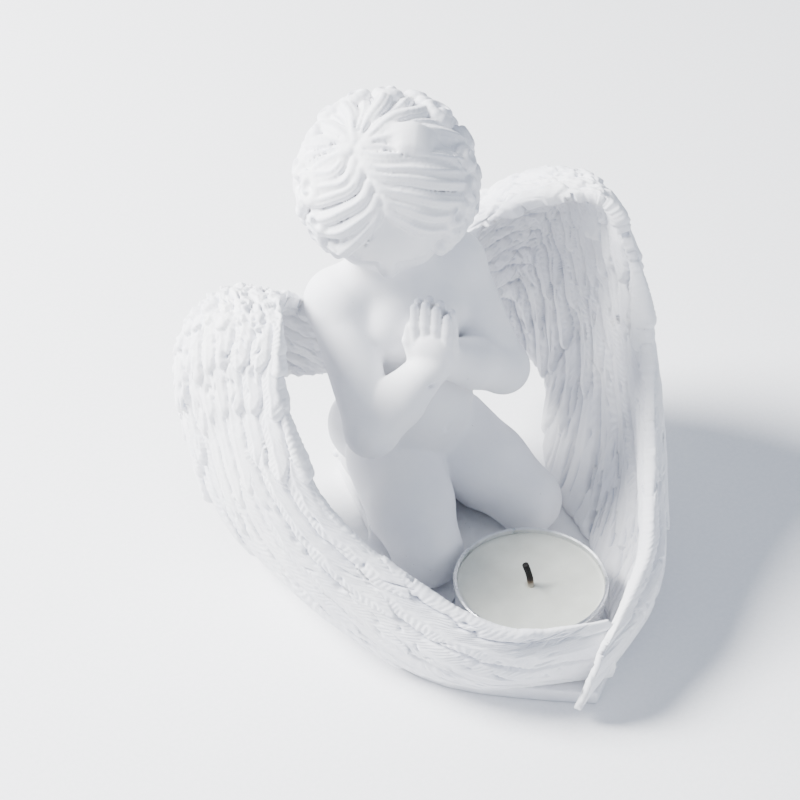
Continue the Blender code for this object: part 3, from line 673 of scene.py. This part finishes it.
def build_wing(name, side):
    stations, lanes = MESH_GRID
    t = np.linspace(0, 13, stations)
    near_tip = np.clip((t - 11.5) / 1.5, 0, 1)
    front, full, rear = [through(g, t) for g in (front_guide, full_guide, rear_guide)]
    if side > 0:
        high = np.interp(t, [0, 2, 4, 7, 10], [0, 1, 1, 0.3, 0]) * LEFT_RISE
        out = np.interp(t, [0, 2, 5, 9, 11], [0, 1, 1, 0.6, 0]) * LEFT_OUT
        for curve, share, slant in ((front, 1.0, -1.0), (full, 1.0, 5.5), (rear, 0.4, 8.0)):
            curve[:, 2] += high * share
            curve[:, 0] += out - slant * near_tip**2
            curve[:, 1] -= 0.9 * near_tip
        front[:, 2] -= 2.0 * near_tip
    else:
        for curve in (front, full, rear):
            curve[:, 1] += 3.6 * near_tip
            curve[:, 0] -= 6.0 * near_tip**2
    for curve in (front, full, rear):
        curve[:, 0] *= side
    # The smooth shell first: a rounded section between its outer and inner skins.
    s = np.linspace(0, 1, lanes)
    s = 0.45 * (0.5 - 0.5 * np.cos(np.pi * s)) + 0.55 * s
    sv = s[None, :, None]
    middle = 2 * full - (front + rear) / 2
    outer = (1 - sv) ** 2 * front[:, None] + 2 * sv * (1 - sv) * middle[:, None]
    outer = outer + sv**2 * rear[:, None]
    du, dv = np.gradient(outer, axis=0), np.gradient(outer, axis=1)
    normal = np.cross(du, dv) * -side
    normal /= np.linalg.norm(normal, axis=2, keepdims=True) + 1e-9
    if (normal[stations // 4 : stations // 2, lanes // 3 : lanes // 2, 0] * side).mean() < 0:
        normal = -normal
    along = np.cumsum(np.linalg.norm(du, axis=2), axis=0)
    across = np.cumsum(np.linalg.norm(dv, axis=2), axis=1)
    width = across[:, -1:]
    # How thick the shell is at its middle, along its front rim and along its foot.
    mid_thick = np.interp(t, [0, 1.5, 3, 5, 9, 11.5, 13], [5.4, 6.6, 6.6, 5.8, 5.2, 4.4, 2.4])
    rim = np.interp(t, [0, 2, 4, 8, 10, 12, 13], [4.6, 4.2, 2.8, 2.2, 2.4, 2.4, 2.0])
    heel = np.interp(t, [0, 4, 6.5, 8, 10, 12, 13], [3.2, 3.6, 6.0, 11.5, 12.0, 7.0, 2.6])
    at_rim = np.clip(1 - s / 0.2, 0, 1)[None, :] ** 1.5
    at_foot = np.clip((s - 0.55) / 0.45, 0, 1)[None, :] ** 1.3
    level = normal * (1, 1, 0)
    level /= np.linalg.norm(level, axis=2, keepdims=True) + 1e-9
    lying = (at_foot * np.clip((t[:, None] - 5.5) / 1.5, 0, 1))[..., None]
    inward = normal * (1 - lying) + level * lying
    thick = mid_thick[:, None] * (1 - at_rim) + rim[:, None] * at_rim
    thick = thick * (1 - at_foot) + heel[:, None] * at_foot
    edge = np.minimum(across, width - across)
    square = 1 - np.clip(edge / (np.minimum(thick, 6.0) * 0.45), 0, 1)
    round_off = (1 - square**2.6) ** (1 / 2.6)
    outside = outer - inward * (thick * 0.5 * (1 - round_off))[..., None]
    inside = outer - inward * (thick * 0.5 * (1 + round_off))[..., None]
    ring = np.concatenate([outside, inside[:, ::-1][:, 1:-1]], axis=1)
    # Then the feathers, pushed out along the shell's own normals all the way round.
    tt = np.repeat(t[:, None], lanes, axis=1)
    seed = 3 if side < 0 else 8
    top = plumage(tt, along, across, seed)
    spots = [(0.4, 4.4, 300, 1.2, 0.9), (4.4, 12.8, 110, 0.8, 1.4)]
    top = gouges(top, along, across, seed, spots)
    under = plumage(tt * 0.93 + 0.2, along, across * 0.78, seed + 5) * 1.15
    spots = [(1.5, 6.5, 90, 1.2, 1.3), (6.5, 12, 110, 1.0, 1.3)]
    under = gouges(under, along, across, seed + 1, spots)
    share = 0.5 * np.exp(-((across / 1.6) ** 2))
    outward = top * (1 - share) + under * share
    lining = under * (1 - share) + top * share
    relief = np.concatenate([outward, lining[:, ::-1][:, 1:-1]], axis=1)
    count = ring.shape[1]
    ru = np.gradient(ring, axis=0)
    rv = np.roll(ring, -1, axis=1) - np.roll(ring, 1, axis=1)
    out_way = np.cross(ru, rv)
    out_way /= np.linalg.norm(out_way, axis=2, keepdims=True) + 1e-9
    if (out_way[:, :lanes] * normal).sum() < 0:
        out_way = -out_way
    relief = relief * (1 - 0.6 * np.clip((t - 11.6) / 1.2, 0, 1))[:, None]
    ring = ring + out_way * (relief - 0.75)[..., None]
    ragged = 0.8 * rumple(across[-1] * 1.2, across[-1] * 0 + 5, seed)
    ragged = ragged + 0.25 * rumple(across[-1] * 6.0, across[-1] * 0, seed)
    ragged = np.concatenate([ragged, ragged[::-1][1:-1]])
    tipward = ru[-1, :1] / np.linalg.norm(ru[-1, :1])
    for back_off in range(6):
        ring[-1 - back_off] += tipward * ragged[:, None] * (1 - back_off / 6)
    points = ring.reshape(-1, 3)
    points[:, 2] = np.maximum(points[:, 2], FOOT)
    # The round well of the candle is clear all the way up.
    away = np.hypot(points[:, 0], points[:, 1] - cup_y) + 1e-9
    pushed = np.maximum((cup + 1.0) / away, 1)
    points[:, 0] *= pushed
    points[:, 1] = cup_y + (points[:, 1] - cup_y) * pushed
    i = np.arange(stations - 1)[:, None] * count
    j = np.arange(count)[None, :]
    k = (j + 1) % count
    faces = np.stack([i + j, i + count + j, i + count + k, i + k], axis=-1).reshape(-1, 4)
    ends = [list(range(count)), [(stations - 1) * count + n for n in range(count)][::-1]]
    mesh = bpy.data.meshes.new(name)
    mesh.from_pydata((points * MM).tolist(), [], faces.tolist() + ends)
    turn_out = bmesh.new()
    turn_out.from_mesh(mesh)
    bmesh.ops.recalc_face_normals(turn_out, faces=turn_out.faces)
    turn_out.to_mesh(mesh)
    turn_out.free()
    mesh.shade_smooth()
    obj = bpy.data.objects.new(name, mesh)
    bpy.context.scene.collection.objects.link(obj)
    mesh.materials.append(feather_resin)
    return obj


for name, side in (("right_feathered_wing", -1), ("left_feathered_wing", 1)):
    wing = build_wing(name, side)
    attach(wing, "holder")
    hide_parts("right_wing" if side < 0 else "left_wing")

# ---------------------------------------------------------------------------
# The plinth. A thin slab of the same resin, pointed in front like a heart and set
# in a little from the wings, with a shallow round well for the candle. The child
# and the wings are bonded to its top.
# ---------------------------------------------------------------------------

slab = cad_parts["plinth"]
slab.data.materials.clear()
slab.data.materials.append(feather_resin)

# ---------------------------------------------------------------------------
# The tealight. A deep-drawn aluminium foil cup with a rolled rim, poured full
# of paraffin; the cotton wick stands in a pressed tinplate foot.
# ---------------------------------------------------------------------------

# Thin foil keeps fine scuffs from the press, which break up its mirror shine.
foil, tree, shader = new_material("deep-drawn aluminium foil, bright")
where = node(tree, "ShaderNodeTexCoord").outputs["Object"]
scuffs = {"Scale": repeat(3.846), "Detail": 5.0}
scuff = node(tree, NOISE, scuffs, {"Vector": where}).outputs["Fac"]
sheen = node(tree, RAMP, {"stops": [(0.3, grey(0.22)), (0.7, grey(0.40))]}, {"Fac": scuff})
stops = [(0.3, linear("#C9CBCE")), (0.7, linear("#E2E3E5"))]
tone = node(tree, RAMP, {"stops": stops}, {"Fac": scuff})
dents = {"Strength": 0.3, "Distance": 0.1 * MM}
crease = node(tree, "ShaderNodeBump", dents, {"Height": scuff})
tree.links.new(sheen.outputs["Color"], shader.inputs["Roughness"])
tree.links.new(tone.outputs["Color"], shader.inputs["Base Color"])
tree.links.new(crease.outputs["Normal"], shader.inputs["Normal"])
shader.inputs["Metallic"].default_value = 1.0

# Paraffin sets cloudy and a little greenish grey, with a satin skin and light inside it.
paraffin, tree, shader = new_material("paraffin wax, poured and set")
where = node(tree, "ShaderNodeTexCoord").outputs["Object"]
blooms = {"Scale": repeat(7.692), "Detail": 5.0, "Roughness": 0.6}
bloom = node(tree, NOISE, blooms, {"Vector": where}).outputs["Fac"]
stops = [(0.3, linear("#C2C4BB")), (0.7, linear("#D0D2C9"))]
tone = node(tree, RAMP, {"stops": stops}, {"Fac": bloom})
ripples = {"Strength": 0.25, "Distance": 0.3 * MM}
skin = node(tree, "ShaderNodeBump", ripples, {"Height": bloom})
gloss = node(tree, RAMP, {"stops": [(0.3, grey(0.36)), (0.7, grey(0.5))]}, {"Fac": bloom})
tree.links.new(tone.outputs["Color"], shader.inputs["Base Color"])
tree.links.new(gloss.outputs["Color"], shader.inputs["Roughness"])
tree.links.new(skin.outputs["Normal"], shader.inputs["Normal"])
shader.inputs["Subsurface Weight"].default_value = 0.25
shader.inputs["Subsurface Radius"].default_value = (4.0 * MM, 3.5 * MM, 3.0 * MM)
shader.inputs["Subsurface Scale"].default_value = 1.0

# Cotton braid, waxed and pale where it enters the candle and burnt black above.
char, tree, shader = new_material("cotton wick, charred")
where = node(tree, "ShaderNodeTexCoord").outputs["Object"]
threads = {"Scale": repeat(0.6667), "Detail": 3.0}
braid = node(tree, NOISE, threads, {"Vector": where}).outputs["Fac"]
parts = node(tree, "ShaderNodeSeparateXYZ", links={"Vector": where})
times = {"operation": "MULTIPLY", 1: 1 / MM}
height = node(tree, "ShaderNodeMath", times, {0: parts.outputs["Z"]})
frayed = node(tree, "ShaderNodeMath", {"operation": "ADD"}, {0: height.outputs[0], 1: braid})
burnt = {"From Min": 16.5, "From Max": 21.5}
share = node(tree, "ShaderNodeMapRange", burnt, {"Value": frayed.outputs[0]})
stops = [(0.0, linear("#B9B4A6")), (0.30, linear("#6B5E50"))]
stops += [(0.48, linear("#2A211C")), (0.7, linear("#0F0D0C"))]
tone = node(tree, RAMP, {"stops": stops}, {"Fac": share.outputs["Result"]})
strands = {"Strength": 0.8, "Distance": 0.2 * MM}
weave = node(tree, "ShaderNodeBump", strands, {"Height": braid})
tree.links.new(tone.outputs["Color"], shader.inputs["Base Color"])
tree.links.new(weave.outputs["Normal"], shader.inputs["Normal"])
shader.inputs["Roughness"].default_value = 0.95

# Tinplate dulls in handling: a soft grey metal with cloudy rub marks.
tin, tree, shader = new_material("tinplate, pressed")
where = node(tree, "ShaderNodeTexCoord").outputs["Object"]
rubs = {"Scale": repeat(1.6667), "Detail": 3.0}
rub = node(tree, NOISE, rubs, {"Vector": where}).outputs["Fac"]
stops = [(0.3, linear("#A5A49F")), (0.7, linear("#C2C1BC"))]
tone = node(tree, RAMP, {"stops": stops}, {"Fac": rub})
tree.links.new(tone.outputs["Color"], shader.inputs["Base Color"])
shader.inputs["Roughness"].default_value = 0.35
shader.inputs["Metallic"].default_value = 1.0

# The wax fills its cup to the wall, climbs it a little and dishes to the wick.
rim_z = cup_high[2]
WAX_RADIUS = 17.5
rings = [(17.6, rim_z - 13.8), (17.75, rim_z - 12.5)]
rings += [(18.06, rim_z - 1.25), (17.8, rim_z - 1.45)]
for r in np.linspace(17.3, 3.2, 34):
    rings.append((r, rim_z - 1.62 - 0.45 * (1 - r / WAX_RADIUS) ** 0.7))
rings += [(2.4, rim_z - 1.95), (1.7, rim_z - 1.8), (1.25, rim_z - 1.9), (0.7, rim_z - 2.3)]
sides = 200
angle = np.linspace(0, 2 * np.pi, sides, endpoint=False)[None, :]
radius = np.array([r for r, z in rings])[:, None]
level = np.array([z for r, z in rings])[:, None] + 0 * angle
x, y = radius * np.cos(angle), radius * np.sin(angle)
poured = (radius < 17.7) & (level > rim_z - 5)
level = level + poured * (0.05 * rumple(x * 1.6, y * 1.6, 5) + 0.02 * rumple(x * 6, y * 6, 2))
points = np.stack([x, y + cup_y, level], axis=-1).reshape(-1, 3) * MM
i = np.arange(len(rings) - 1)[:, None] * sides
j = np.arange(sides)[None, :]
k = (j + 1) % sides
faces = np.stack([i + j, i + k, i + sides + k, i + sides + j], axis=-1).reshape(-1, 4)
caps = [list(range(sides))[::-1], [(len(rings) - 1) * sides + n for n in range(sides)]]
mesh = bpy.data.meshes.new("poured_wax")
mesh.from_pydata(points.tolist(), [], faces.tolist() + caps)
mesh.shade_smooth()
wax = bpy.data.objects.new("poured_wax", mesh)
bpy.context.scene.collection.objects.link(wax)
mesh.materials.append(paraffin)
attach(wax, "candle")
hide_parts("candle_wax")

for piece, finish in (("candle_cup", foil), ("wick", char), ("wick_sustainer", tin)):
    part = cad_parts[piece]
    part.data.materials.clear()
    part.data.materials.append(finish)

# ---------------------------------------------------------------------------
# The table and the light: a plain white table, a broad soft key from behind the angel's right
# shoulder, and a cool fill from the front.
# ---------------------------------------------------------------------------

bpy.ops.mesh.primitive_plane_add(size=6.0, location=(0, 0, 0))
table = bpy.context.object
table.name = "white_table"
# Seamless paper is dead matt, with a fibre that only just mottles its white.
paper, tree, shader = new_material("white seamless paper")
where = node(tree, "ShaderNodeTexCoord").outputs["Object"]
fibres = {"Scale": repeat(1.111), "Detail": 2.0}
fibre = node(tree, NOISE, fibres, {"Vector": where})
stops = [(0.3, linear("#EEEFF1")), (0.7, linear("#F4F4F6"))]
tone = node(tree, RAMP, {"stops": stops}, {"Fac": fibre.outputs["Fac"]})
tree.links.new(tone.outputs["Color"], shader.inputs["Base Color"])
shader.inputs["Roughness"].default_value = 0.9
table.data.materials.append(paper)

aim = Vector((-0.00728, 0.00367, 0.04405))


def softbox(name, place, size, power, colour):
    light = bpy.data.lights.new(name, "AREA")
    light.shape = "DISK"
    light.size = size
    light.energy = power
    light.color = colour
    obj = bpy.data.objects.new(name, light)
    obj.location = place
    obj.rotation_euler = (aim - Vector(place)).to_track_quat("-Z", "Y").to_euler()
    bpy.context.scene.collection.objects.link(obj)


softbox("key", (-0.58, 0.46, 0.72), 0.50, 57.0, (1.0, 0.995, 0.985))
softbox("fill", (0.45, -0.90, 0.55), 0.8, 3.0, (0.82, 0.90, 1.0))

world = bpy.data.worlds.new("studio")
world.use_nodes = True
sky = world.node_tree.nodes["Background"]
sky.inputs["Color"].default_value = (0.77, 0.85, 1.0, 1.0)
sky.inputs["Strength"].default_value = 0.72
bpy.context.scene.world = world

# The camera looks down on the candle from in front of the angel's right wing.
camera = bpy.data.objects.new("camera", bpy.data.cameras.new("camera"))
bpy.context.scene.collection.objects.link(camera)
around, above = math.radians(-32), math.radians(38.5)
level_way = math.cos(above)
back_off = Vector((math.sin(around) * level_way, -math.cos(around) * level_way, math.sin(above)))
CAMERA_DISTANCE = 0.5
camera.location = aim + back_off * CAMERA_DISTANCE
camera.rotation_mode = "QUATERNION"
camera.rotation_quaternion = (-back_off).to_track_quat("-Z", "Y")
camera.data.lens = 89.8
camera.data.sensor_width = 36
camera.data.clip_start = 0.01
bpy.context.scene.camera = camera
